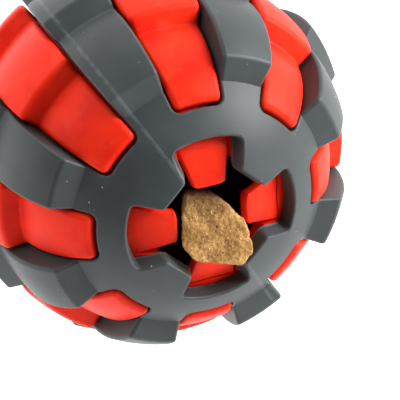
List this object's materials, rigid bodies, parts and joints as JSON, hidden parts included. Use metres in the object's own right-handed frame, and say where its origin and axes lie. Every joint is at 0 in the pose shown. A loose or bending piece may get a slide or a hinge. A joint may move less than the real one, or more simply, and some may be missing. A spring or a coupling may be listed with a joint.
{
  "type": "treat dispensing ball",
  "caption": "Rubber treat dispensing ball: a stepped grey shell with windows over a hollow red ball, with a cross-shaped mouth, flexible tongues and a treat.",
  "frame": {"origin": "centre of the ball", "axes": "+Z out of the mouth along its axis, +X and +Y along the lobes of the mouth"},
  "size_m": [0.093, 0.093, 0.0899],
  "materials": {
    "grey_rubber": "satin moulded rubber with worn edges",
    "red_rubber": "satin moulded rubber",
    "treat_biscuit": "dry crumbly baked biscuit"
  },
  "bodies": {
    "ball": {"outer_shell_left_half": "grey_rubber", "outer_shell_right_half": "grey_rubber", "inner_ball_mouth_half": "red_rubber", "inner_ball_base_half": "red_rubber"},
    "tongue_1": {"mouth_tongue_1": "red_rubber"},
    "tongue_2": {"mouth_tongue_2": "red_rubber"},
    "tongue_3": {"mouth_tongue_3": "red_rubber"},
    "tongue_4": {"mouth_tongue_4": "red_rubber"},
    "treat": {"treat": "treat_biscuit"}
  },
  "joints": [
    {"name": "tongue_1_bend", "type": "hinge", "parent": "ball", "child": "tongue_1", "pos_m": [0.0158, 0, 0.035], "axis": [0, 1, 0], "range_deg": [-35, 30], "stiffness_Nm_per_rad": 0.006},
    {"name": "tongue_2_bend", "type": "hinge", "parent": "ball", "child": "tongue_2", "pos_m": [0, 0.0158, 0.035], "axis": [-1, 0, 0], "range_deg": [-35, 30], "stiffness_Nm_per_rad": 0.006},
    {"name": "tongue_3_bend", "type": "hinge", "parent": "ball", "child": "tongue_3", "pos_m": [-0.0158, 0, 0.035], "axis": [0, -1, 0], "range_deg": [-35, 30], "stiffness_Nm_per_rad": 0.006},
    {"name": "tongue_4_bend", "type": "hinge", "parent": "ball", "child": "tongue_4", "pos_m": [0, -0.0158, 0.035], "axis": [1, 0, 0], "range_deg": [-35, 30], "stiffness_Nm_per_rad": 0.006},
    {"name": "treat_slide", "type": "slide", "parent": "ball", "child": "treat", "axis": [0, 0, 1], "range_m": [-0.065, 0.045]}
  ]
}
